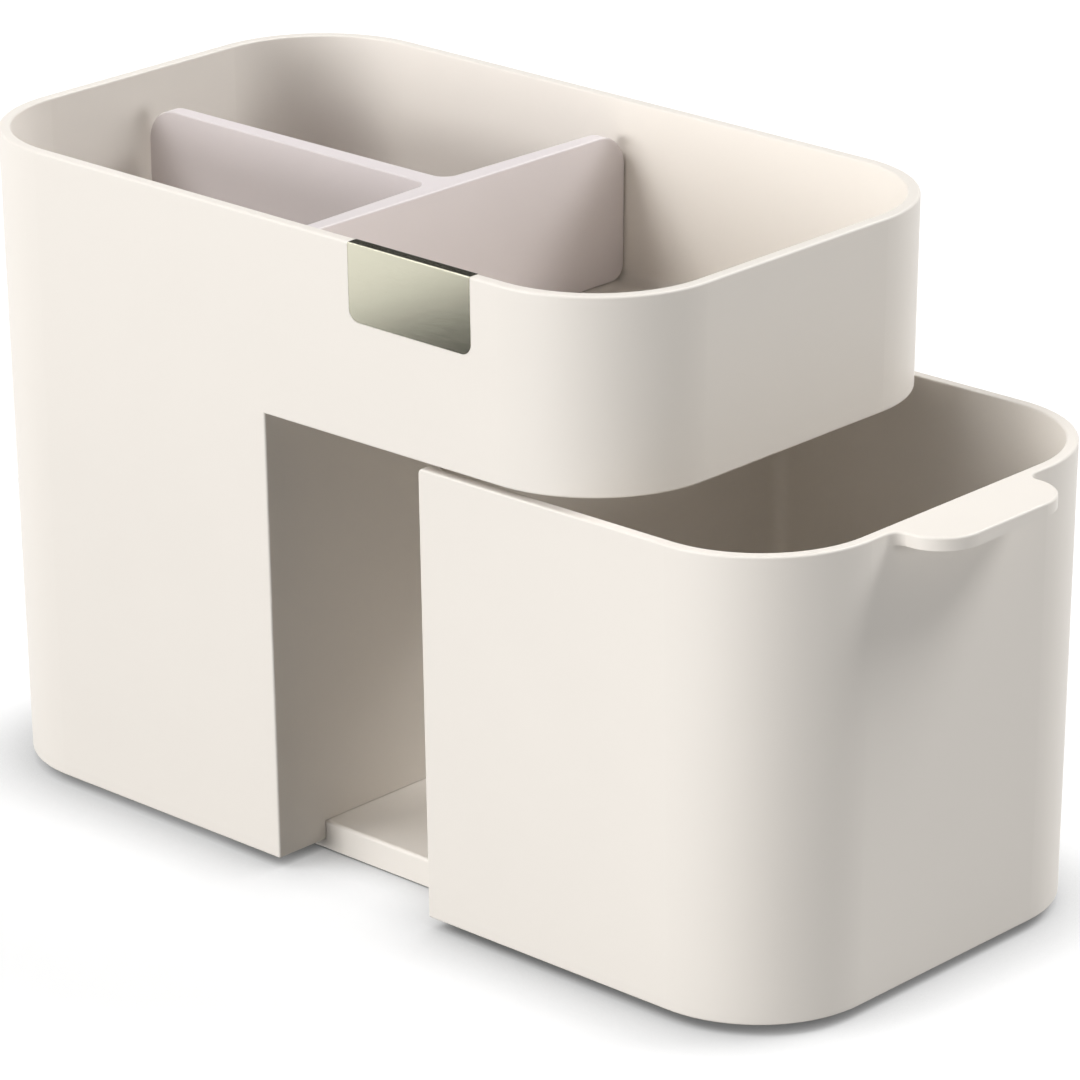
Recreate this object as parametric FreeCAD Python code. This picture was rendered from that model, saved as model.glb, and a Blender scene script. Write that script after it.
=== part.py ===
import FreeCAD, Part

import math
import os

# Desktop makeup organiser: a housing with a tray and a deep well, a drawer that
# slides out from under the tray, a lift-out divider and a low base with pads.
# Millimetres. X runs along the housing towards the drawer's pull, Y towards the
# back and Z up. Everything is built with the left front corner of the rim's box
# at X 0, Y 0, the table at Z 0 and the drawer closed. The last step opens the
# drawer and moves the origin to the middle of the footprint.

# Outline that the housing and the drawer share, measured at the housing's rim
length = 240.0
width = 142.0
rim_height = 182.0
corner_radius = 36.5
side_draft = 0.015          # how far the sides lean in, per mm below the rim
skirt_gap = 3.0             # air between the table and the skirts

# Rounded edges of the housing and the drawer
rim_round = 0.7             # outer edge of the housing's rim
rim_inner_round = 0.5       # inner edge of both rims
edge_round = 0.6            # other outer edges
skirt_round = 0.6           # lower edge of the skirts

# Housing
wall = 3.3
column_length = 120.3       # left end to the right face of the column
split_height = 128.6        # underside of the tray, where it meets the column
split_slope = 0.0086        # rise of that underside, per mm to the right
tray_floor = 3.3
tray_floor_round = 3.5
well_floor = 3.0
well_floor_height = 19.0    # top of the well's floor
well_corner = 4.0
well_floor_round = 3.0

# Base
rail_inset = 20.0           # rim's front to the rail's side, and the same at the back
rail_height = 8.4
base_clearance = 0.5        # air under the base, where only the pads reach down
base_plate = 2.0
base_wall = 2.0
base_left = 14.0            # left end of the housing to the base
base_corner = 20.0
rail_end_gap = 2.0          # rail's end to the drawer's end wall, drawer closed
rail_round = 1.0
notch_gap = 0.15            # between the rail and its notch in the column
rib_thickness = 1.5
rib_lift = 1.0              # lower edge of the ribs above the base's

# Base screws and the bosses that they go into
screw_spacing_x = 38.0
screw_spacing_y = 50.0
screw_radius = 1.5
screw_length = 8.0
screw_head_radius = 2.8
screw_head_height = 2.0
screw_head_round = 0.6
screw_drive_radius = 1.0
screw_drive_depth = 1.2
screw_hole_gap = 0.2
screw_head_gap = 0.4        # kept free of ribs around the heads
boss_radius = 4.0
boss_tip_gap = 0.5          # pilot hole past the screw's tip

# Foot pads
pad_radius = 6.0
pad_thickness = 1.5
pad_seat_ledge = 2.0        # seat around the pad
pad_margin = 16.0           # base's sides and ends to the pads' centres
pad_gap = 0.1
pad_round = 0.3

# Drawer
drawer_wall = 3.2
drawer_rear_gap = 0.6       # column to the drawer's rear, drawer closed
drawer_top_gap = 1.4        # tray's underside to the drawer's rim
drawer_rear_top_round = 1.6
drawer_inner_corner = 4.0
drawer_floor = 2.5
drawer_floor_round = 3.0
drawer_rail_gap = 0.6       # rail's top to the floor's underside
guide_thickness = 2.0
guide_gap = 0.5             # rail's side to a guide rib
guide_lift = 1.5            # a guide rib's lower edge above the skirt's
drawer_open = 54.0          # as photographed
drawer_travel = 90.0        # closed to the stop

# Stop: a nub under the drawer's floor in a slot along the rail's top
nub_width = 5.0
nub_length = 6.0
nub_reach = 1.9             # below the floor's underside
nub_offset = 8.0            # inside of the drawer's rear wall to the nub
slot_side_gap = 0.6
slot_end_gap = 0.3

# Pull tab on the drawer's end wall
tab_corner_gap = 8.9        # straight end wall left on each side of the tab
tab_reach = 16.0
tab_thickness = 3.5
tab_corner = 12.0
tab_root_round = 3.6

# Divider: a cross wall between the tray and the well, and a long wall in the well
divider_top = 173.8
divider_right = 121.1       # left end of the housing to the cross wall's right face
divider_left = 7.3          # left end of the housing to the long wall's end
divider_end_gap = 0.4       # from the ends to the housing
divider_foot_gap = 0.1      # over the tray's floor
divider_well_gap = 0.5      # over the well's floor
cross_middle = 6.2          # thickness of the cross wall beside the long wall
cross_end = 4.1
long_root = 6.4             # thickness of the long wall at the cross wall
long_end = 4.6
divider_corner = 10.0
divider_foot_corner = 4.5
divider_junction = 4.5
divider_skin = 1.6          # plastic left around the hollows
divider_round = 0.5

# Badge plate, folded over the rim
badge_left = 152.3          # left end of the housing to the plate
badge_width = 42.0
badge_drop = 20.7
badge_thickness = 0.7
badge_corner = 3.2
badge_fold_round = 0.4
badge_gap = 0.1
film_thickness = 0.3
film_margin = 1.5

TINY = 1e-4
PAST = 1.0                  # how far a cut runs past a wall
BEYOND = 20.0               # how far a cutting solid runs past the whole object
ALONG = 20.0                # an edge runs along an axis if it extends this much more that way
STRAIGHT_SHARE = 0.95       # most of a short straight edge that a fillet takes up

# Places that follow from the sizes
middle_y = width / 2
well_right = column_length - wall
well_underside = well_floor_height - well_floor


def at(x, y, z):
    return FreeCAD.Vector(x, y, z)


def box(x0, x1, y0, y1, z0, z1):
    return Part.makeBox(x1 - x0, y1 - y0, z1 - z0, at(x0, y0, z0))


def cylinder(radius, x, y, z0, z1):
    return Part.makeCylinder(radius, z1 - z0, at(x, y, z0))


def prism(points, direction):
    """Solid from a flat polygon moved along direction."""
    return Part.Face(Part.makePolygon(points + points[:1])).extrude(direction)


def lean(z):
    """How far the sides have come in at height z."""
    return side_draft * (rim_height - z)


def rounded_wire(x0, x1, y0, y1, z, radius):
    """Closed rectangle with round corners, at height z."""
    mid = radius * (1 - math.sqrt(0.5))
    corners = [
        (at(x1 - radius, y0, z), at(x1 - mid, y0 + mid, z), at(x1, y0 + radius, z)),
        (at(x1, y1 - radius, z), at(x1 - mid, y1 - mid, z), at(x1 - radius, y1, z)),
        (at(x0 + radius, y1, z), at(x0 + mid, y1 - mid, z), at(x0, y1 - radius, z)),
        (at(x0, y0 + radius, z), at(x0 + mid, y0 + mid, z), at(x0 + radius, y0, z)),
    ]
    edges = []
    before = corners[-1]
    for corner in corners:
        edges.append(Part.LineSegment(before[2], corner[0]).toShape())
        edges.append(Part.Arc(*corner).toShape())
        before = corner
    return Part.Wire(edges)


def rounded_block(x0, x1, y0, y1, z0, z1, radius):
    return Part.Face(rounded_wire(x0, x1, y0, y1, z0, radius)).extrude(at(0, 0, z1 - z0))


def outline(z, inset):
    """The shared outline at height z, moved in by inset."""
    d = lean(z) + inset
    return rounded_wire(d, length - d, d, width - d, z, corner_radius - d)


def envelope(z0, z1, inset=0.0):
    """Solid of the shared, slightly tapered form between two heights."""
    return Part.makeLoft([outline(z0, inset), outline(z1, inset)], True, True)


def split_z(x):
    """Height of the tray's underside at x."""
    return split_height + split_slope * (x - column_length)


def split_side(x0, offset, above):
    """All that is right of x0 and above, or below, the tray's underside moved up by offset."""
    x1 = length + BEYOND
    far = rim_height + BEYOND if above else -BEYOND
    points = [
        at(x0, -BEYOND, split_z(x0) + offset),
        at(x1, -BEYOND, split_z(x1) + offset),
        at(x1, -BEYOND, far),
        at(x0, -BEYOND, far),
    ]
    return prism(points, at(0, width + 2 * BEYOND, 0))


def faces_at(shape, height):
    """Faces whose corners all lie at the height that a function gives for their X."""
    return [f for f in shape.Faces if all(abs(v.Z - height(v.X)) < TINY for v in f.Vertexes)]


def edges_at(shape, height):
    """Edges of those faces, each one once."""
    found = []
    for face in faces_at(shape, height):
        for edge in face.Edges:
            if not any(edge.isSame(other) for other in found):
                found.append(edge)
    return found


def hole_edges_at(shape, height):
    """Edges of the holes in those faces."""
    found = []
    for face in faces_at(shape, height):
        for wire in face.Wires:
            if not wire.isSame(face.OuterWire):
                found.extend(wire.Edges)
    return found


def runs_along(edge, axis):
    """Whether an edge runs nearly along the axis named X, Y or Z."""
    extents = {"X": edge.BoundBox.XLength, "Y": edge.BoundBox.YLength, "Z": edge.BoundBox.ZLength}
    along = extents.pop(axis)
    return along > ALONG * max(extents.values())


def upright_edges(shape, x):
    """Edges that stand in the plane of one X."""
    in_plane = [e for e in shape.Edges if abs(e.BoundBox.XMin - x) < TINY and e.BoundBox.XLength < TINY]
    return [e for e in in_plane if runs_along(e, "Z")]


def crosswise_edges(shape, x, z):
    """Edges that run along Y at one X and one height."""
    found = []
    for edge in shape.Edges:
        if runs_along(edge, "Y") and max(abs(edge.BoundBox.XMin - x), abs(edge.BoundBox.ZMin - z)) < TINY:
            found.append(edge)
    return found


# Base: its extent, and where its pads and screws go
base_x0 = base_left
base_x1 = length - lean(rail_height) - drawer_wall - rail_end_gap
base_y0 = rail_inset
base_y1 = width - rail_inset
plate_underside = rail_height - base_plate
pad_xs = (base_x0 + pad_margin, column_length - pad_margin, base_x1 - pad_margin)
pad_ys = (base_y0 + pad_margin, base_y1 - pad_margin)
pad_places = [(x, y) for x in pad_xs for y in pad_ys]
screw_middle_x = (base_x0 + column_length) / 2
screw_places = [
    (screw_middle_x + i * screw_spacing_x / 2, middle_y + j * screw_spacing_y / 2)
    for i in (-1, 1)
    for j in (-1, 1)
]
screw_tip = plate_underside + screw_length

# Drawer, while it is closed
drawer_rear = column_length + drawer_rear_gap
drawer_inner_rear = drawer_rear + drawer_wall
channel_top = rail_height + drawer_rail_gap
drawer_floor_top = channel_top + drawer_floor
nub_x0 = drawer_inner_rear + nub_offset
nub_x1 = nub_x0 + nub_length


def drawer_top(x):
    """Height of the drawer's rim at x."""
    return split_z(x) - drawer_top_gap


# The tab fills the end wall between the corners, less a gap at each
tab_width = width - 2 * (corner_radius + tab_corner_gap)

# Where the leaning end wall meets the sloping rim
drawer_end = (length - side_draft * (rim_height - drawer_top(0))) / (1 - side_draft * split_slope)


def make_tray_core():
    """What is empty above the tray's floor, over the whole length."""
    core = envelope(split_z(0), rim_height + BEYOND, wall)
    core = core.common(split_side(-BEYOND, tray_floor, True))
    return core.makeFillet(tray_floor_round, edges_at(core, lambda x: split_z(x) + tray_floor))


def make_well_core():
    """What is empty in the column, from the well's floor up."""
    column = box(0, well_right, 0, width, 0, rim_height + BEYOND)
    core = envelope(well_floor_height, rim_height + BEYOND, wall).common(column)
    core = core.makeFillet(well_corner, upright_edges(core, well_right))
    return core.makeFillet(well_floor_round, edges_at(core, lambda x: well_floor_height))


def make_housing():
    # Outer form with the bay under the tray, and its rounded edges
    body = envelope(skirt_gap, rim_height).cut(split_side(column_length, 0, False))
    body = body.makeFillet(rim_round, edges_at(body, lambda x: rim_height))
    bay_edges = [e for e in edges_at(body, split_z) if e.BoundBox.XMax > column_length + TINY]
    bay_edges += upright_edges(body, column_length)
    body = body.makeFillet(edge_round, bay_edges)
    body = body.makeFillet(skirt_round, edges_at(body, lambda x: skirt_gap))

    # Tray, well and the hollow under the well's floor
    body = body.cut(make_tray_core())
    body = body.makeFillet(rim_inner_round, hole_edges_at(body, lambda x: rim_height))
    column = box(0, well_right, 0, width, -BEYOND, rim_height)
    hollow = envelope(-BEYOND, well_underside, wall).common(column)
    body = body.cut(make_well_core()).cut(hollow)

    # Notch where the rail comes out of the column
    notch_y0 = base_y0 - notch_gap
    notch_y1 = base_y1 + notch_gap
    notch = box(well_right - PAST, column_length + PAST, notch_y0, notch_y1, 0, rail_height + notch_gap)
    body = body.cut(notch)

    # Bosses for the base screws
    for x, y in screw_places:
        boss = cylinder(boss_radius, x, y, rail_height, well_underside)
        pilot = cylinder(screw_radius, x, y, rail_height - PAST, screw_tip + boss_tip_gap)
        body = body.fuse(boss).cut(pilot)

    recess = folded_plate(badge_thickness + film_thickness, badge_thickness, badge_gap)
    return body.cut(recess).removeSplitter()


def folded_plate(depth, top_depth, margin):
    """Plate down the front wall and over the rim, its outline grown by margin."""
    x0 = badge_left - margin
    x1 = badge_left + badge_width + margin
    z0 = rim_height - badge_drop - margin
    z1 = rim_height - top_depth
    points = [
        at(x0, lean(z0), z0),
        at(x0, 0, rim_height),
        at(x0, wall, rim_height),
        at(x0, wall, z1),
        at(x0, depth + lean(z1), z1),
        at(x0, depth + lean(z0), z0),
    ]
    plate = prism(points, at(x1 - x0, 0, 0))
    round_block = box(x0, x1, 0, wall, z0, rim_height)
    lower = [e for e in round_block.Edges if e.BoundBox.YLength > TINY and e.BoundBox.ZMax < z0 + TINY]
    return plate.common(round_block.makeFillet(badge_corner + margin, lower))


def make_badge_plate():
    plate = folded_plate(badge_thickness, badge_thickness, 0)
    fold = [
        e for e in plate.Edges
        if e.BoundBox.XLength > TINY and e.BoundBox.YMax < TINY and e.BoundBox.ZMin > rim_height - TINY
    ]
    return plate.makeFillet(badge_fold_round, fold)


def make_badge_film():
    x0 = badge_left + film_margin
    z0 = rim_height - badge_drop + film_margin
    z1 = rim_height - badge_thickness - film_margin
    points = [
        at(x0, badge_thickness + lean(z0), z0),
        at(x0, badge_thickness + lean(z1), z1),
        at(x0, badge_thickness + film_thickness + lean(z1), z1),
        at(x0, badge_thickness + film_thickness + lean(z0), z0),
    ]
    return prism(points, at(badge_width - 2 * film_margin, 0, 0))


def make_base_rail():
    # Plate with a wall all round, open below
    plate = rounded_block(base_x0, base_x1, base_y0, base_y1, base_clearance, rail_height, base_corner)
    plate = plate.makeFillet(rail_round, edges_at(plate, lambda x: rail_height))
    x0 = base_x0 + base_wall
    x1 = base_x1 - base_wall
    y0 = base_y0 + base_wall
    y1 = base_y1 - base_wall
    base = plate.cut(rounded_block(x0, x1, y0, y1, 0, plate_underside, base_corner - base_wall))

    # Ribs that join the pads' seats, and the seats with their recesses
    rib_z0 = base_clearance + rib_lift
    half_rib = rib_thickness / 2
    for x in pad_xs:
        base = base.fuse(box(x - half_rib, x + half_rib, y0, y1, rib_z0, plate_underside))
    for y in pad_ys:
        base = base.fuse(box(x0, x1, y - half_rib, y + half_rib, rib_z0, plate_underside))
    for x, y in pad_places:
        base = base.fuse(cylinder(pad_radius + pad_seat_ledge, x, y, base_clearance, plate_underside))
        base = base.cut(cylinder(pad_radius + pad_gap, x, y, 0, pad_thickness))

    # Screw holes, and room for the heads in any rib that comes near
    for x, y in screw_places:
        base = base.cut(cylinder(screw_radius + screw_hole_gap, x, y, 0, rail_height + PAST))
        base = base.cut(cylinder(screw_head_radius + screw_head_gap, x, y, 0, plate_underside))

    # Slot for the drawer's nub, through the ribs that it meets
    slot_x0 = nub_x0 - slot_end_gap
    slot_x1 = nub_x1 + drawer_travel + slot_end_gap
    half_slot = nub_width / 2 + slot_side_gap
    slot = box(slot_x0, slot_x1, middle_y - half_slot, middle_y + half_slot, 0, rail_height + PAST)
    return base.cut(slot).removeSplitter()


def make_base_screws():
    screws = []
    head_z0 = plate_underside - screw_head_height
    for x, y in screw_places:
        head = cylinder(screw_head_radius, x, y, head_z0, plate_underside)
        head = head.makeFillet(screw_head_round, edges_at(head, lambda x: head_z0))
        shank = cylinder(screw_radius, x, y, plate_underside, screw_tip)
        drive = cylinder(screw_drive_radius, x, y, 0, head_z0 + screw_drive_depth)
        screws.append(head.fuse(shank).cut(drive).removeSplitter())
    return Part.makeCompound(screws)


def make_foot_pad(x, y):
    pad = cylinder(pad_radius, x, y, 0, pad_thickness)
    return pad.makeFillet(pad_round, edges_at(pad, lambda x: 0))


def make_pull_tab():
    """Flat tab with its top in the plane of the drawer's rim."""
    x1 = drawer_end + tab_reach
    y0 = middle_y - tab_width / 2
    plan = box(drawer_end - drawer_wall / 2, x1, y0, y0 + tab_width, 0, rim_height)
    plan = plan.makeFillet(tab_corner, upright_edges(plan, x1))
    above = split_side(column_length, -drawer_top_gap - tab_thickness, False)
    return plan.common(split_side(column_length, -drawer_top_gap, False).cut(above))


def make_drawer():
    # Outer form, with the rear top edge rounded before the tab is added
    body = envelope(skirt_gap, rim_height).common(split_side(drawer_rear, -drawer_top_gap, False))
    rear_top = crosswise_edges(body, drawer_rear, drawer_top(drawer_rear))
    body = body.makeFillet(drawer_rear_top_round, rear_top)
    body = body.fuse(make_pull_tab()).removeSplitter()

    # Hollow flares where the tab's sides run into the end wall, as far as its sides are straight
    root_round = min(tab_root_round, STRAIGHT_SHARE * (tab_reach - tab_corner))
    roots = [
        e for e in body.Edges
        if drawer_end - drawer_wall / 2 < e.BoundBox.XMin
        and e.BoundBox.XMax < drawer_end + TINY
        and e.BoundBox.ZLength > tab_thickness / 2
        and abs(abs(e.CenterOfMass.y - middle_y) - tab_width / 2) < TINY
    ]
    body = body.makeFillet(root_round, roots)

    # Rim, tab and rear corners in one smooth run, then the skirt
    run = [e for e in edges_at(body, drawer_top) if e.BoundBox.XMax > drawer_inner_rear]
    run += upright_edges(body, drawer_rear)
    body = body.makeFillet(edge_round, run)
    body = body.makeFillet(skirt_round, edges_at(body, lambda x: skirt_gap))

    # Inside, above the floor
    behind_wall = box(drawer_inner_rear, length, 0, width, -BEYOND, rim_height)
    core = envelope(drawer_floor_top, rim_height, drawer_wall).common(behind_wall)
    core = core.makeFillet(drawer_inner_corner, upright_edges(core, drawer_inner_rear))
    core = core.makeFillet(drawer_floor_round, edges_at(core, lambda x: drawer_floor_top))
    body = body.cut(core)
    body = body.makeFillet(rim_inner_round, hole_edges_at(body, drawer_top))

    # Hollow under the floor, with a guide rib along each side of the rail
    hollow = envelope(-BEYOND, channel_top, drawer_wall).common(behind_wall)
    guide_y0 = base_y0 - guide_gap
    guide_y1 = base_y1 + guide_gap
    for y in (guide_y0 - guide_thickness, guide_y1):
        rib = box(0, length, y, y + guide_thickness, skirt_gap + guide_lift, channel_top)
        hollow = hollow.cut(rib)
    notch = box(drawer_rear - PAST, drawer_inner_rear + PAST, guide_y0, guide_y1, 0, channel_top)
    body = body.cut(hollow).cut(notch)

    # Nub that runs in the rail's slot
    nub_y0 = middle_y - nub_width / 2
    nub = box(nub_x0, nub_x1, nub_y0, nub_y0 + nub_width, channel_top - nub_reach, channel_top)
    return body.fuse(nub).removeSplitter()


def make_divider():
    # T in plan. The cross wall is thickest in the middle, the long wall beside the cross wall
    z0 = well_floor_height + divider_well_gap
    rise = at(0, 0, divider_top - z0)
    end = wall + divider_end_gap
    cross_face = divider_right - cross_middle
    cross_tip = divider_right - cross_end
    half = long_root / 2
    cross = prism(
        [
            at(divider_right, end, z0),
            at(divider_right, width - end, z0),
            at(cross_tip, width - end, z0),
            at(cross_face, middle_y + half, z0),
            at(cross_face, middle_y - half, z0),
            at(cross_tip, end, z0),
        ],
        rise,
    )
    long_wall = prism(
        [
            at(divider_left, middle_y - long_end / 2, z0),
            at(cross_face, middle_y - half, z0),
            at(cross_face, middle_y + half, z0),
            at(divider_left, middle_y + long_end / 2, z0),
        ],
        rise,
    )
    body = cross.fuse(long_wall).removeSplitter()
    body = body.makeFillet(divider_junction, upright_edges(body, cross_face))
    body = body.common(envelope(z0, divider_top, end))

    # The cross wall stands on the tray's floor, and only the long wall goes down into the well
    foot = tray_floor + divider_foot_gap
    long_stop = well_right - divider_end_gap
    body = body.cut(split_side(long_stop, foot, False))
    for y0, y1 in ((0, middle_y - half), (middle_y + half, width)):
        beside = box(0, length, y0, y1, 0, rim_height)
        body = body.cut(split_side(0, foot, False).common(beside))
    body = body.removeSplitter()

    # Corners seen from the side, larger at the top
    body = body.makeFillet(divider_corner, crosswise_edges(body, divider_left, divider_top))
    ends = crosswise_edges(body, divider_left, z0) + crosswise_edges(body, long_stop, z0)
    body = body.makeFillet(divider_foot_corner, ends)
    across = 2 * cross_middle       # longer than any edge across a wall
    feet = [
        e for e in body.Edges
        if runs_along(e, "X") and e.Length < across
        and e.BoundBox.ZMax < divider_top - TINY
        and abs(e.CenterOfMass.y - middle_y) > middle_y / 2
    ]
    body = body.makeFillet(divider_foot_corner, feet)
    tips = [e for e in edges_at(body, lambda x: divider_top) if runs_along(e, "X") and e.Length < across]
    body = body.makeFillet(divider_corner, tips)
    top_edges = [e for e in edges_at(body, lambda x: divider_top) if e.Length > across]
    body = body.makeFillet(divider_round, top_edges)

    # Hollows, open below
    depth = at(0, 0, divider_top - divider_skin)
    core_x0 = divider_left + divider_corner
    core_x1 = long_stop - divider_skin
    growth = (long_root - long_end) / (cross_face - divider_left)
    half_thin = (long_end + growth * divider_corner) / 2 - divider_skin
    half_thick = half - divider_skin
    long_core = prism(
        [
            at(core_x0, middle_y - half_thin, 0),
            at(core_x1, middle_y - half_thick, 0),
            at(core_x1, middle_y + half_thick, 0),
            at(core_x0, middle_y + half_thin, 0),
        ],
        depth,
    )
    core_y = end + divider_corner
    cross_core = prism(
        [
            at(divider_right - divider_skin, core_y, 0),
            at(divider_right - divider_skin, width - core_y, 0),
            at(cross_tip + divider_skin, width - core_y, 0),
            at(cross_face + divider_skin, middle_y, 0),
            at(cross_tip + divider_skin, core_y, 0),
        ],
        depth,
    )
    cross_core = cross_core.common(split_side(0, foot - PAST, True))
    return body.cut(long_core).cut(cross_core).removeSplitter()


parts = {
    "housing": make_housing(),
    "base_rail": make_base_rail(),
    "base_screws": make_base_screws(),
    "badge_plate": make_badge_plate(),
    "badge_film": make_badge_film(),
    "drawer": make_drawer(),
    "divider": make_divider(),
}
for number, (x, y) in enumerate(pad_places, start=1):
    parts["foot_pad_%d" % number] = make_foot_pad(x, y)

# Open the drawer, and put the origin under the middle of the opened object
parts["drawer"].translate(at(drawer_open, 0, 0))
reach = drawer_end + tab_reach + drawer_open
origin = at(reach / 2, middle_y, 0)

os.makedirs("parts", exist_ok=True)
for name, shape in parts.items():
    shape.translate(-origin)
    shape.exportStep("parts/%s.step" % name)
    print(name, "valid" if shape.isValid() else "NOT VALID", len(shape.Solids), round(shape.Volume))
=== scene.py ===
import math

import bmesh
import bpy
from mathutils import Matrix, Quaternion, Vector


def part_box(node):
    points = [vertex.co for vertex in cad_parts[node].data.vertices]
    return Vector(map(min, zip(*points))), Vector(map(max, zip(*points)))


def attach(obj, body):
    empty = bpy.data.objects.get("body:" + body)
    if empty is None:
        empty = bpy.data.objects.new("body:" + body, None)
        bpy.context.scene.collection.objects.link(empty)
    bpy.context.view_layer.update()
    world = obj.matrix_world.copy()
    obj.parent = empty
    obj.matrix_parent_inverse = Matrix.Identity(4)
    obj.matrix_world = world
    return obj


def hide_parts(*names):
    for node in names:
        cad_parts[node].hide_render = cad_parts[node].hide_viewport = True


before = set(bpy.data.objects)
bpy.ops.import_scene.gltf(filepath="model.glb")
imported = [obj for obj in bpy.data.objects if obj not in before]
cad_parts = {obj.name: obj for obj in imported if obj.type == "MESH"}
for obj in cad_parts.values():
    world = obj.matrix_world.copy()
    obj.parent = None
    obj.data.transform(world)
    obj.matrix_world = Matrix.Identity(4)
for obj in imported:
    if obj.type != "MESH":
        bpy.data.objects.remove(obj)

bl_info = {
    "name": "Makeup Organiser Looks",
    "version": (1, 0, 0),
    "blender": (4, 5, 0),
    "location": "3D View > Sidebar > Organiser",
    "description": "Finishes and studio for a desktop makeup organiser with a drawer",
    "category": "Object",
}

MM = 0.001
MERGE_DISTANCE = 0.0005 * MM    # points nearer than this become one


# Colours and nodes

def linear(colour_hex):
    """Linear RGBA of an sRGB colour written as six hex digits."""
    channels = [int(colour_hex[i:i + 2], 16) / 255 for i in (0, 2, 4)]
    curve = [c / 12.92 if c <= 0.04045 else ((c + 0.055) / 1.055) ** 2.4 for c in channels]
    return (*curve, 1.0)


def add_node(tree, kind, inputs=None, **settings):
    """Add a node with its settings, and give each named input a value or a link."""
    node = tree.nodes.new(kind)
    for name, value in settings.items():
        setattr(node, name, value)
    for key, value in (inputs or {}).items():
        if isinstance(value, bpy.types.NodeSocket):
            tree.links.new(value, node.inputs[key])
        else:
            node.inputs[key].default_value = value
    return node


def empty_tree(owner):
    """The node tree of a material or a world, with nothing in it."""
    owner.use_nodes = True
    owner.node_tree.nodes.clear()
    return owner.node_tree


def new_material(name, **values):
    """A material with one Principled shader, whose constant values are given by name."""
    material = bpy.data.materials.new(name)
    tree = empty_tree(material)
    shader = add_node(tree, "ShaderNodeBsdfPrincipled", values)
    add_node(tree, "ShaderNodeOutputMaterial", {"Surface": shader.outputs[0]})
    return material, tree, shader


def two_tone(tree, factor, dark, light):
    """Colour that goes from dark to light with a factor."""
    mix = add_node(
        tree, "ShaderNodeMix", {0: factor, 6: dark, 7: light}, data_type="RGBA", clamp_factor=True
    )
    return mix.outputs[2]


def shade(colour, by):
    """The same colour, lighter or darker by a share."""
    return (*[min(1.0, c * (1 + by)) for c in colour[:3]], 1.0)


def spread(tree, factor, low, high):
    """A number that goes from low to high while the factor goes from 0.3 to 0.7, as noise does."""
    node = add_node(
        tree, "ShaderNodeMapRange",
        {"Value": factor, "From Min": 0.3, "From Max": 0.7, "To Min": low, "To Max": high},
    )
    return node.outputs[0]


def dress(material, *node_names):
    """Give CAD nodes their material."""
    for name in node_names:
        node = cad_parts[name]
        node.data.materials.clear()
        node.data.materials.append(material)


# Sizes and colours

class MouldedPlasticSettings(bpy.types.PropertyGroup):
    shell_colour: bpy.props.FloatVectorProperty(
        name="Shell colour", description="Pigment of the housing, drawer and base",
        subtype="COLOR", size=4, min=0.0, max=1.0, default=linear("E9E3DB"),
    )
    insert_colour: bpy.props.FloatVectorProperty(
        name="Divider colour", description="Pigment of the divider, a little pinker than the shell's",
        subtype="COLOR", size=4, min=0.0, max=1.0, default=linear("E1D9D9"),
    )
    grain_size: bpy.props.FloatProperty(
        name="Mould grain", description="Width of one pit of the spark-eroded mould",
        unit="LENGTH", precision=5, default=0.3 * MM,
    )
    cloud_size: bpy.props.FloatProperty(
        name="Pigment clouds", description="Width of the faint clouds in the pigment",
        unit="LENGTH", precision=4, default=35 * MM,
    )


class BadgeSettings(bpy.types.PropertyGroup):
    colour: bpy.props.FloatVectorProperty(
        name="Badge colour", description="Champagne tint of the brushed steel",
        subtype="COLOR", size=4, min=0.0, max=1.0, default=linear("D9D6C2"),
    )
    brush_width: bpy.props.FloatProperty(
        name="Brush lines", description="Width of one brushed line",
        unit="LENGTH", precision=5, default=0.12 * MM,
    )
    brush_length: bpy.props.FloatProperty(
        name="Brush line length", description="Length of one brushed line",
        unit="LENGTH", precision=4, default=6 * MM,
    )


class ScrewSettings(bpy.types.PropertyGroup):
    pitch: bpy.props.FloatProperty(
        name="Thread pitch", description="Rise of the thread in one turn",
        unit="LENGTH", precision=5, default=1.34 * MM,
    )
    core_radius: bpy.props.FloatProperty(
        name="Core radius", description="Radius of the shank at the root of the thread",
        unit="LENGTH", precision=5, default=1.1 * MM,
    )
    crest_radius: bpy.props.FloatProperty(
        name="Crest radius", description="Radius of the shank at the crest of the thread",
        unit="LENGTH", precision=5, default=1.5 * MM,
    )
    head_radius: bpy.props.FloatProperty(
        name="Head radius", description="Radius of the pan head",
        unit="LENGTH", precision=5, default=2.8 * MM,
    )
    head_height: bpy.props.FloatProperty(
        name="Head height", description="Height of the pan head",
        unit="LENGTH", precision=5, default=2.0 * MM,
    )
    recess_span: bpy.props.FloatProperty(
        name="Recess span", description="Distance across the cross recess at the head's face",
        unit="LENGTH", precision=5, default=3.0 * MM,
    )
    recess_depth: bpy.props.FloatProperty(
        name="Recess depth", description="Depth of the cross recess, without its point",
        unit="LENGTH", precision=5, default=1.2 * MM,
    )


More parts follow.
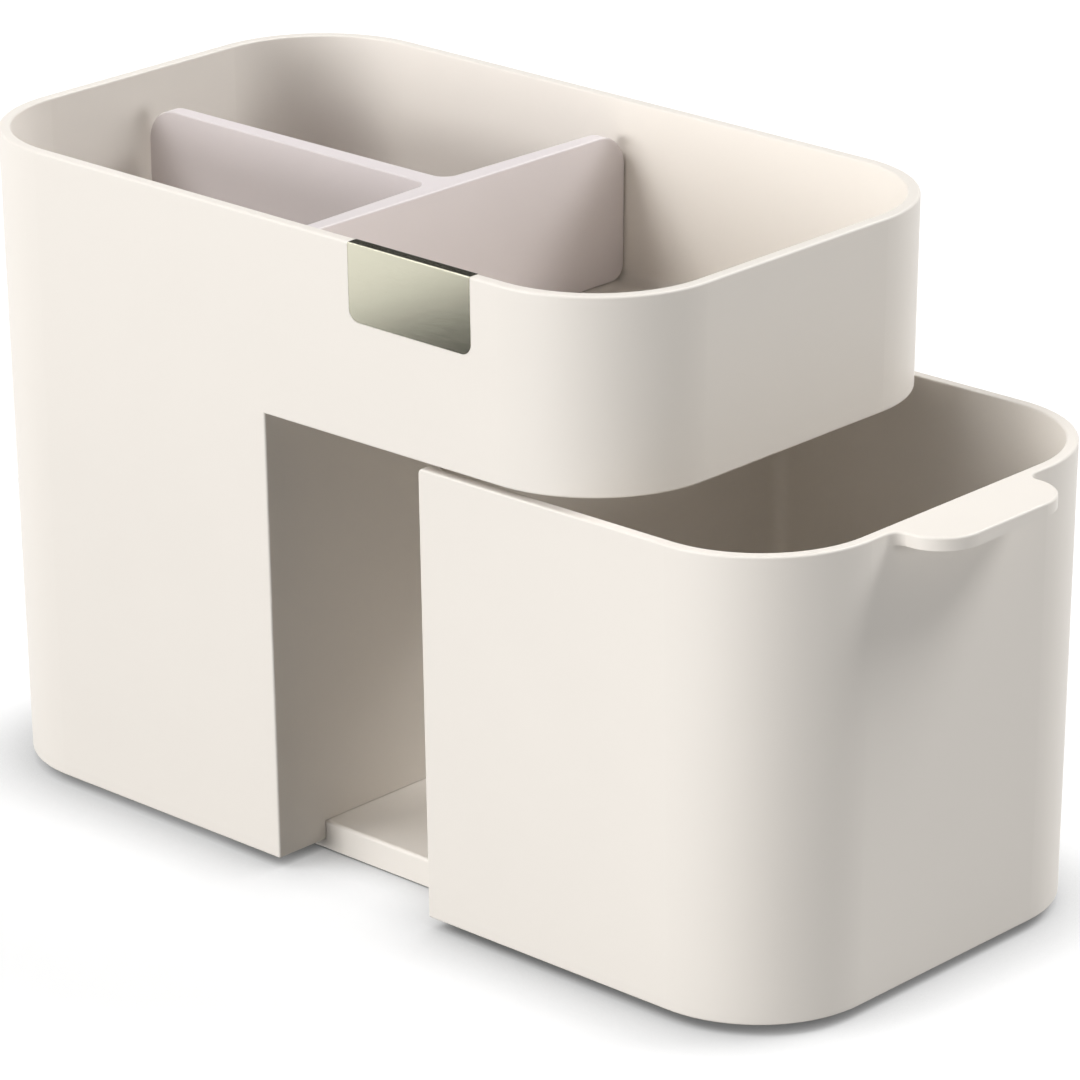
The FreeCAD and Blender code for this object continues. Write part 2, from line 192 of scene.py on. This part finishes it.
class StageSettings(bpy.types.PropertyGroup):
    floor_colour: bpy.props.FloatVectorProperty(
        name="Floor colour", description="Grey paper whose bounced light reaches the object",
        subtype="COLOR", size=4, min=0.0, max=1.0, default=linear("999999"),
    )
    floor_size: bpy.props.FloatProperty(
        name="Floor size", description="Side of the square floor", unit="LENGTH", default=12.0,
    )
    # Reach of the painted contact shadow, drawn on the floor by occlusion and not cast by the lamps
    contact_reach: bpy.props.FloatProperty(
        name="Contact shadow", description="How far from the object its contact shadow reaches",
        unit="LENGTH", precision=4, default=24 * MM,
    )
    key_level: bpy.props.FloatProperty(
        name="Key light", description="Brightness of white paper that faces the front light", default=0.81,
    )
    side_level: bpy.props.FloatProperty(
        name="Side light", description="Brightness of white paper that faces the left light", default=0.50,
    )
    back_level: bpy.props.FloatProperty(
        name="Back light", description="Brightness of white paper that faces the high back light",
        default=0.83,
    )
    right_level: bpy.props.FloatProperty(
        name="Right light", description="Brightness of white paper that faces the light on the right",
        default=0.24,
    )
    ambient_level: bpy.props.FloatProperty(
        name="Ambient light", description="Brightness of white paper under the room's light alone",
        default=0.01,
    )


# Materials

# Roughness of each finish, from its smoothest to its roughest spots
PLASTIC_ROUGHNESS = (0.44, 0.52)
BRUSHED_ROUGHNESS = (0.16, 0.22)
ZINC_ROUGHNESS = (0.25, 0.42)
RUBBER_ROUGHNESS = (0.78, 0.92)

# How much darker and lighter than their mean the pigment's clouds and the brushed lines are
CLOUD_CONTRAST = 0.012
BRUSH_CONTRAST = 0.05

# Width of the clouds, grains and cells of the small pieces
ZINC_CLOUD = 0.8 * MM
RUBBER_GRAIN = 0.4 * MM
FOAM_CELL = 0.25 * MM


def satin_abs(name, colour, settings):
    """Satin ABS, injection moulded in a spark-eroded mould.

    The mould's fine pits give an even, soft sheen without sharp reflections, and
    the pigment has clouds that are only just there.
    """
    material, tree, shader = new_material(name, IOR=1.54)
    point = add_node(tree, "ShaderNodeTexCoord").outputs["Object"]
    clouds = add_node(
        tree, "ShaderNodeTexNoise",
        {"Vector": point, "Scale": 1 / settings.cloud_size, "Detail": 2.0, "Roughness": 0.5},
    )
    dark, light = shade(colour, -CLOUD_CONTRAST), shade(colour, CLOUD_CONTRAST)
    pigment = two_tone(tree, clouds.outputs[0], dark, light)
    tree.links.new(pigment, shader.inputs["Base Color"])

    # Real pits are about 0.05 mm wide, too fine to show, so they are drawn coarser
    grain = add_node(
        tree, "ShaderNodeTexNoise",
        {"Vector": point, "Scale": 1 / settings.grain_size, "Detail": 2.0, "Roughness": 0.6},
    )
    tree.links.new(spread(tree, grain.outputs[0], *PLASTIC_ROUGHNESS), shader.inputs["Roughness"])
    bump = add_node(
        tree, "ShaderNodeBump",
        {"Height": grain.outputs[0], "Strength": 0.25, "Distance": 0.02 * MM},
    )
    tree.links.new(bump.outputs[0], shader.inputs["Normal"])
    return material


def brushed_steel(name, settings):
    """Champagne-tinted stainless steel, brushed along its length.

    Fine lines along X stretch the reflections up and down.
    """
    material, tree, shader = new_material(name, Metallic=1.0)
    point = add_node(tree, "ShaderNodeTexCoord").outputs["Object"]
    across = 1 / settings.brush_width
    stretched = add_node(
        tree, "ShaderNodeMapping",
        {"Vector": point, "Scale": (1 / settings.brush_length, across, across)},
    )
    lines = add_node(
        tree, "ShaderNodeTexNoise",
        {"Vector": stretched.outputs[0], "Scale": 1.0, "Detail": 3.0, "Roughness": 0.6},
    )
    dark, light = shade(settings.colour, -BRUSH_CONTRAST), shade(settings.colour, BRUSH_CONTRAST)
    tint = two_tone(tree, lines.outputs[0], dark, light)
    tree.links.new(tint, shader.inputs["Base Color"])
    tree.links.new(spread(tree, lines.outputs[0], *BRUSHED_ROUGHNESS), shader.inputs["Roughness"])
    bump = add_node(
        tree, "ShaderNodeBump",
        {"Height": lines.outputs[0], "Strength": 0.3, "Distance": 0.01 * MM},
    )
    tree.links.new(bump.outputs[0], shader.inputs["Normal"])
    return material


def zinc_plated_steel(name):
    """Steel screws, cold headed and zinc plated: a bluish, slightly cloudy shine."""
    material, tree, shader = new_material(name, Metallic=1.0)
    point = add_node(tree, "ShaderNodeTexCoord").outputs["Object"]
    clouds = add_node(tree, "ShaderNodeTexNoise", {"Vector": point, "Scale": 1 / ZINC_CLOUD, "Detail": 3.0})
    tint = two_tone(tree, clouds.outputs[0], linear("AEB4B8"), linear("CFD4D8"))
    tree.links.new(tint, shader.inputs["Base Color"])
    tree.links.new(spread(tree, clouds.outputs[0], *ZINC_ROUGHNESS), shader.inputs["Roughness"])
    return material


def moulded_rubber(name):
    """Grey thermoplastic rubber, compression moulded: matt, with a dry, dusty grain."""
    material, tree, shader = new_material(name, IOR=1.5)
    point = add_node(tree, "ShaderNodeTexCoord").outputs["Object"]
    grain = add_node(
        tree, "ShaderNodeTexNoise",
        {"Vector": point, "Scale": 1 / RUBBER_GRAIN, "Detail": 3.0},
    )
    tint = two_tone(tree, grain.outputs[0], linear("7F7C78"), linear("918E8A"))
    tree.links.new(tint, shader.inputs["Base Color"])
    tree.links.new(spread(tree, grain.outputs[0], *RUBBER_ROUGHNESS), shader.inputs["Roughness"])
    bump = add_node(
        tree, "ShaderNodeBump",
        {"Height": grain.outputs[0], "Strength": 0.5, "Distance": 0.03 * MM},
    )
    tree.links.new(bump.outputs[0], shader.inputs["Normal"])
    return material


def adhesive_foam(name):
    """Closed-cell acrylic foam tape, slit from a roll: greyish white and matt, with fine cells."""
    material, tree, shader = new_material(name, IOR=1.48, Roughness=0.8)
    point = add_node(tree, "ShaderNodeTexCoord").outputs["Object"]
    cells = add_node(tree, "ShaderNodeTexVoronoi", {"Vector": point, "Scale": 1 / FOAM_CELL})
    tint = two_tone(tree, cells.outputs["Distance"], linear("D9D8D4"), linear("C4C3BF"))
    tree.links.new(tint, shader.inputs["Base Color"])
    return material


# Screw shapes

SCREW_TURNS = (12, 57, 33, 81)      # degrees; each screw stopped where it was tight
ROUND_STEPS = 48
CRISP_ANGLE = math.radians(38)      # edges that turn more than this stay crisp
SHANK_IN_HEAD = 0.15 * MM           # how far the shank starts inside the head
TIP_SHARE = 0.65                    # core radius at the very tip, of that above it
RECESS_PAST = 0.1 * MM              # how far the recess's cutter sticks out of the head
RECESS_TAPER = 5                    # span at the face over the arm's reach at the bottom
RECESS_WIDTH_AT_FACE = 0.40 * MM    # half the width of an arm of the cross
RECESS_WIDTH_BELOW = 0.30 * MM
RECESS_POINT = 0.3 * MM             # point below the arms
# Thread rib: share of the pitch, and share of the rib's height
THREAD_PROFILE = ((0.0, 0.0), (0.28, 0.0), (0.46, 1.0), (0.54, 1.0), (0.72, 0.0))
# Pan head, from its face to its bearing side: share of the radius and of the height
HEAD_PROFILE = (
    (0.0, 0.0), (0.45, 0.0), (0.66, 0.04), (0.82, 0.12), (0.92, 0.24), (0.98, 0.40), (1.0, 0.58),
    (1.0, 0.96), (0.98, 1.0), (0.0, 1.0),
)


def bevelled_end(height, start, end, reach):
    """0 at either end of a shank and 1 from a reach inside it."""
    return max(0.0, min(1.0, (height - start) / reach, (end - height) / reach))


def finished_mesh(name, build):
    """Mesh from a closed bmesh, with its normals outward."""
    bmesh.ops.remove_doubles(build, verts=build.verts, dist=MERGE_DISTANCE)
    bmesh.ops.recalc_face_normals(build, faces=build.faces)
    mesh = bpy.data.meshes.new(name)
    build.to_mesh(mesh)
    build.free()
    return mesh


def turned_mesh(name, profile):
    """Solid of revolution about Z whose profile starts and ends on the axis."""
    build = bmesh.new()
    rings = []
    for radius, height in profile:
        ring = []
        for step in range(ROUND_STEPS):
            angle = math.tau * step / ROUND_STEPS
            ring.append(build.verts.new((radius * math.cos(angle), radius * math.sin(angle), height)))
        rings.append(ring)
    for near, far in zip(rings, rings[1:]):
        for step in range(ROUND_STEPS):
            after = (step + 1) % ROUND_STEPS
            build.faces.new((near[step], near[after], far[after], far[step]))
    return finished_mesh(name, build)


def threaded_mesh(name, settings, start, end):
    """Shank with one helical rib. Its rows follow the helix, so that the crest is a clean line."""
    build = bmesh.new()
    turns = math.ceil((end - start) / settings.pitch) + 2
    rib = settings.crest_radius - settings.core_radius
    rows = []
    for turn in range(-1, turns):
        for share, rise in THREAD_PROFILE:
            row = []
            for step in range(ROUND_STEPS):
                angle = math.tau * step / ROUND_STEPS
                height = start + settings.pitch * (turn + share + step / ROUND_STEPS)
                height = max(start, min(end, height))
                above_tip = max(0.0, min(1.0, (end - height) / settings.pitch))
                core = settings.core_radius * (TIP_SHARE + (1 - TIP_SHARE) * above_tip)
                radius = core + rib * rise * bevelled_end(height, start, end, settings.pitch)
                row.append(build.verts.new((radius * math.cos(angle), radius * math.sin(angle), height)))
            rows.append(row)
    per_turn = len(THREAD_PROFILE)
    for index in range(len(rows) - per_turn - 1):
        for step in range(ROUND_STEPS):
            if step + 1 < ROUND_STEPS:
                low, high = rows[index][step + 1], rows[index + 1][step + 1]
            else:
                low, high = rows[index + per_turn][0], rows[index + per_turn + 1][0]
            build.faces.new((rows[index][step], low, high, rows[index + 1][step]))
    bmesh.ops.remove_doubles(build, verts=build.verts, dist=MERGE_DISTANCE)
    bmesh.ops.delete(build, geom=[v for v in build.verts if not v.link_faces], context="VERTS")
    bmesh.ops.holes_fill(build, edges=[e for e in build.edges if e.is_boundary], sides=0)
    return finished_mesh(name, build)


def cross_mesh(name, settings, face):
    """Tapered cross with a point, the shape of the screwdriver's bit."""
    build = bmesh.new()
    rings = []
    bottom = face + settings.recess_depth
    for height, span, width in (
        (face - RECESS_PAST, settings.recess_span / 2, RECESS_WIDTH_AT_FACE),
        (bottom, settings.recess_span / RECESS_TAPER, RECESS_WIDTH_BELOW),
    ):
        corners = []
        for quarter in range(4):
            turn = Matrix.Rotation(math.radians(90 * quarter), 3, "Z")
            for x, y in ((span, -width), (span, width), (width, width)):
                corners.append(build.verts.new(turn @ Vector((x, y, height))))
        rings.append(corners)
    point = build.verts.new((0, 0, bottom + RECESS_POINT))
    build.faces.new(rings[0])
    count = len(rings[0])
    for index in range(count):
        after = (index + 1) % count
        build.faces.new((rings[0][index], rings[0][after], rings[1][after], rings[1][index]))
        build.faces.new((rings[1][index], rings[1][after], point))
    return finished_mesh(name, build)


def combined_mesh(name, start, steps):
    """Mesh of a solid after others are joined to it or cut from it, in order."""
    collection = bpy.context.scene.collection
    whole = bpy.data.objects.new(name, start)
    collection.objects.link(whole)
    tools = []
    for operation, mesh in steps:
        tool = bpy.data.objects.new(mesh.name, mesh)
        collection.objects.link(tool)
        tools.append(tool)
        modifier = whole.modifiers.new(operation.lower(), "BOOLEAN")
        modifier.operation = operation
        modifier.solver = "EXACT"
        modifier.object = tool
    bpy.context.view_layer.update()
    result = bpy.data.meshes.new_from_object(whole.evaluated_get(bpy.context.evaluated_depsgraph_get()))
    for leftover in (whole, *tools):
        bpy.data.objects.remove(leftover)
    return result


# Operators

class ORGANISER_OT_shell(bpy.types.Operator):
    """Finish the moulded housing, base and drawer"""

    bl_idname = "organiser.shell"
    bl_label = "Housing, Base and Drawer"

    def execute(self, context):
        settings = context.scene.organiser_plastic
        material = satin_abs("satin_abs_shell", settings.shell_colour, settings)
        dress(material, "housing", "base_rail", "drawer")
        return {"FINISHED"}


class ORGANISER_OT_divider(bpy.types.Operator):
    """Finish the lift-out divider"""

    bl_idname = "organiser.divider"
    bl_label = "Divider"

    def execute(self, context):
        settings = context.scene.organiser_plastic
        dress(satin_abs("satin_abs_divider", settings.insert_colour, settings), "divider")
        return {"FINISHED"}


class ORGANISER_OT_badge(bpy.types.Operator):
    """Finish the bare badge plate and the film behind it"""

    bl_idname = "organiser.badge"
    bl_label = "Badge Plate"

    def execute(self, context):
        dress(brushed_steel("brushed_steel_badge", context.scene.organiser_badge), "badge_plate")
        dress(adhesive_foam("acrylic_foam_tape"), "badge_film")
        return {"FINISHED"}


class ORGANISER_OT_screws(bpy.types.Operator):
    """Put threaded pan head screws where the four plain ones are"""

    bl_idname = "organiser.screws"
    bl_label = "Base Screws"

    def execute(self, context):
        settings = context.scene.organiser_screws
        low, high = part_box("base_screws")
        face = low.z
        bearing = face + settings.head_height
        head = turned_mesh("screw_head", [
            (radius * settings.head_radius, face + height * settings.head_height)
            for radius, height in HEAD_PROFILE
        ])
        shank = threaded_mesh("screw_shank", settings, bearing - SHANK_IN_HEAD, high.z)
        recess = cross_mesh("screw_recess", settings, face)
        one = combined_mesh("screw_one", head, [("UNION", shank), ("DIFFERENCE", recess)])

        build = bmesh.new()
        xs = (low.x + settings.head_radius, high.x - settings.head_radius)
        ys = (low.y + settings.head_radius, high.y - settings.head_radius)
        places = [(x, y) for x in xs for y in ys]
        for (x, y), turn in zip(places, SCREW_TURNS):
            before = set(build.verts)
            build.from_mesh(one)
            added = [v for v in build.verts if v not in before]
            place = Matrix.Translation((x, y, 0)) @ Matrix.Rotation(math.radians(turn), 4, "Z")
            bmesh.ops.transform(build, matrix=place, verts=added)
        mesh = finished_mesh("pan_head_screws", build)
        mesh.shade_smooth()
        mesh.set_sharp_from_angle(angle=CRISP_ANGLE)
        mesh.materials.append(zinc_plated_steel("zinc_plated_steel"))
        screws = bpy.data.objects.new("pan_head_screws", mesh)
        context.scene.collection.objects.link(screws)
        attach(screws, "housing")
        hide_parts("base_screws")
        return {"FINISHED"}


class ORGANISER_OT_pads(bpy.types.Operator):
    """Finish the non-slip foot pads"""

    bl_idname = "organiser.pads"
    bl_label = "Foot Pads"

    def execute(self, context):
        pads = [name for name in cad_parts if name.startswith("foot_pad")]
        if not pads:
            raise RuntimeError("the frame has no foot pads")
        dress(moulded_rubber("moulded_rubber_pads"), *pads)
        return {"FINISHED"}


# Studio

CAMERA_AIM = Vector((0.13, -3.59, 83.89)) * MM
CAMERA_AZIMUTH = math.radians(42.977)
CAMERA_ELEVATION = math.radians(20.893)
CAMERA_ROLL = math.radians(-0.31)
CAMERA_DISTANCE = 1472.5 * MM
CAMERA_SENSOR = 36.0
CAMERA_LENS = 186.09

# Azimuth, elevation and spread of each softbox, in degrees
SOFTBOXES = {
    "key": (-10, 6, 28),
    "side": (-37, 46, 28),
    "back": (158, 49, 28),
    "right": (96, 9, 18),
}

# Corners of the cards that darken the badge's front and its fold, in mm
SIDE_CARD = ((-334, -126, 0), (10, -446, 0), (10, -446, 150))
BACK_CARD = ((-330, 180, 250), (-330, 180, 450), (-60, 260, 450), (-60, 260, 250))
CARD_COLOUR = linear("1E1E1C")

# The floor as the camera sees it: what it takes from the lamps, and the glow it adds to reach white, dimmed
# beside the object as painted shadow
FLOOR_SEEN_COLOUR = linear("959595")
FLOOR_OWN_LIGHT = 0.8


def direction(azimuth, elevation):
    """Unit vector from the object, 0 azimuth towards the front and 90 towards the drawer's pull."""
    flat = math.cos(elevation)
    return Vector((math.sin(azimuth) * flat, -math.cos(azimuth) * flat, math.sin(elevation)))


def add_camera():
    """The photograph's camera, found from the object's own edges."""
    back = direction(CAMERA_AZIMUTH, CAMERA_ELEVATION)
    data = bpy.data.cameras.new("camera")
    data.sensor_width = CAMERA_SENSOR
    data.lens = CAMERA_LENS
    camera = bpy.data.objects.new("camera", data)
    camera.location = CAMERA_AIM + back * CAMERA_DISTANCE
    camera.rotation_mode = "QUATERNION"
    camera.rotation_quaternion = (-back).to_track_quat("-Z", "Y") @ Quaternion((0, 0, 1), CAMERA_ROLL)
    bpy.context.scene.collection.objects.link(camera)
    bpy.context.scene.camera = camera


def add_softbox(name, azimuth, elevation, spread_angle, level):
    """A distant softbox. Level is the brightness of white paper that faces it."""
    back = direction(math.radians(azimuth), math.radians(elevation))
    data = bpy.data.lights.new(name, "SUN")
    data.angle = math.radians(spread_angle)
    data.energy = level * math.pi
    lamp = bpy.data.objects.new(name, data)
    lamp.rotation_mode = "QUATERNION"
    lamp.rotation_quaternion = (-back).to_track_quat("-Z", "Y")
    bpy.context.scene.collection.objects.link(lamp)


def seen_directly(tree):
    """1 for what the camera, a reflection or clear glass sees, and 0 for light on matt surfaces."""
    path = add_node(tree, "ShaderNodeLightPath")
    camera_or_glossy = add_node(
        tree, "ShaderNodeMath",
        {0: path.outputs["Is Camera Ray"], 1: path.outputs["Is Glossy Ray"]}, operation="MAXIMUM",
    )
    seen = add_node(
        tree, "ShaderNodeMath",
        {0: camera_or_glossy.outputs[0], 1: path.outputs["Is Transmission Ray"]}, operation="MAXIMUM",
    )
    return seen.outputs[0]


def add_sheet(name, corners, material):
    """A flat piece of the studio with one face."""
    mesh = bpy.data.meshes.new(name)
    mesh.from_pydata(corners, [], [tuple(range(len(corners)))])
    mesh.materials.append(material)
    sheet = bpy.data.objects.new(name, mesh)
    bpy.context.scene.collection.objects.link(sheet)
    return sheet


def add_floor(settings):
    """Paper that is grey to the light, so that little of it bounces back.

    Seen directly it is white, but for the lamps' soft shadows and a painted shadow:
    its own glow is dimmed by occlusion, so it is darker right beside the object.
    """
    material = bpy.data.materials.new("matt_paper_floor")
    tree = empty_tree(material)
    seen = seen_directly(tree)
    paper = add_node(
        tree, "ShaderNodeBsdfDiffuse",
        {"Color": two_tone(tree, seen, settings.floor_colour, FLOOR_SEEN_COLOUR)},
    )
    # Painted shadow: occlusion dims the floor's own glow right beside the object
    contact = add_node(tree, "ShaderNodeAmbientOcclusion", {"Distance": settings.contact_reach}, samples=8)
    own = add_node(
        tree, "ShaderNodeMath",
        {0: contact.outputs["AO"], 1: FLOOR_OWN_LIGHT}, operation="MULTIPLY",
    )
    strength = add_node(tree, "ShaderNodeMath", {0: own.outputs[0], 1: seen}, operation="MULTIPLY")
    glow = add_node(tree, "ShaderNodeEmission", {"Strength": strength.outputs[0]})
    both = add_node(tree, "ShaderNodeAddShader", {0: paper.outputs[0], 1: glow.outputs[0]})
    add_node(tree, "ShaderNodeOutputMaterial", {"Surface": both.outputs[0]})
    half = settings.floor_size / 2
    add_sheet("floor", [(-half, -half, 0), (half, -half, 0), (half, half, 0), (-half, half, 0)], material)


def add_world(settings):
    """A white room to the eye and to reflections, which gives matt surfaces little light."""
    world = bpy.data.worlds.new("studio")
    tree = empty_tree(world)
    strength = add_node(
        tree, "ShaderNodeMapRange",
        {"Value": seen_directly(tree), "To Min": settings.ambient_level, "To Max": 1.0},
    )
    background = add_node(
        tree, "ShaderNodeBackground", {"Color": linear("FFFFFF"), "Strength": strength.outputs[0]}
    )
    add_node(tree, "ShaderNodeOutputWorld", {"Surface": background.outputs[0]})
    bpy.context.scene.world = world


def add_card(name, corners):
    """A black card that only the gloss on metal and plastic shows, as beside a product photograph."""
    material = bpy.data.materials.new("black_card")
    tree = empty_tree(material)
    paper = add_node(tree, "ShaderNodeBsdfDiffuse", {"Color": CARD_COLOUR})
    add_node(tree, "ShaderNodeOutputMaterial", {"Surface": paper.outputs[0]})
    card = add_sheet(name, [Vector(corner) * MM for corner in corners], material)
    card.visible_camera = False
    card.visible_diffuse = False
    card.visible_shadow = False


class ORGANISER_OT_stage(bpy.types.Operator):
    """Set up the floor, the studio lights, the white room and the camera"""

    bl_idname = "organiser.stage"
    bl_label = "Stage"

    def execute(self, context):
        settings = context.scene.organiser_stage
        context.scene.view_settings.view_transform = "Standard"
        add_camera()
        add_floor(settings)
        add_world(settings)
        add_card("card_side", SIDE_CARD)
        add_card("card_back", BACK_CARD)
        for name, angles in SOFTBOXES.items():
            add_softbox(name, *angles, getattr(settings, name + "_level"))
        return {"FINISHED"}


# Panel and registration

class ORGANISER_PT_panel(bpy.types.Panel):
    """Pieces of the organiser and their settings"""

    bl_idname = "ORGANISER_PT_panel"
    bl_label = "Makeup Organiser"
    bl_space_type = "VIEW_3D"
    bl_region_type = "UI"
    bl_category = "Organiser"

    def draw(self, context):
        for operators, settings in SECTIONS:
            section = self.layout.box()
            for operator in operators:
                section.operator(operator.bl_idname)
            group = getattr(context.scene, settings, None)
            if group is not None:
                for name in group.bl_rna.properties.keys():
                    if name not in ("rna_type", "name"):
                        section.prop(group, name)


SETTINGS = {
    "organiser_plastic": MouldedPlasticSettings,
    "organiser_badge": BadgeSettings,
    "organiser_screws": ScrewSettings,
    "organiser_stage": StageSettings,
}
SECTIONS = (
    ((ORGANISER_OT_shell, ORGANISER_OT_divider), "organiser_plastic"),
    ((ORGANISER_OT_badge,), "organiser_badge"),
    ((ORGANISER_OT_screws,), "organiser_screws"),
    ((ORGANISER_OT_pads,), ""),
    ((ORGANISER_OT_stage,), "organiser_stage"),
)
OPERATORS = (
    ORGANISER_OT_shell,
    ORGANISER_OT_divider,
    ORGANISER_OT_badge,
    ORGANISER_OT_screws,
    ORGANISER_OT_pads,
    ORGANISER_OT_stage,
)


def register():
    for cls in (*SETTINGS.values(), *OPERATORS, ORGANISER_PT_panel):
        bpy.utils.register_class(cls)
    for name, cls in SETTINGS.items():
        setattr(bpy.types.Scene, name, bpy.props.PointerProperty(type=cls))


def unregister():
    for name in SETTINGS:
        delattr(bpy.types.Scene, name)
    for cls in reversed((*SETTINGS.values(), *OPERATORS, ORGANISER_PT_panel)):
        bpy.utils.unregister_class(cls)


def main():
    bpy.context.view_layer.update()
    register()
    bpy.ops.organiser.shell()
    bpy.ops.organiser.divider()
    bpy.ops.organiser.badge()
    bpy.ops.organiser.screws()
    bpy.ops.organiser.pads()
    bpy.ops.organiser.stage()


if __name__ == "__main__":
    main()
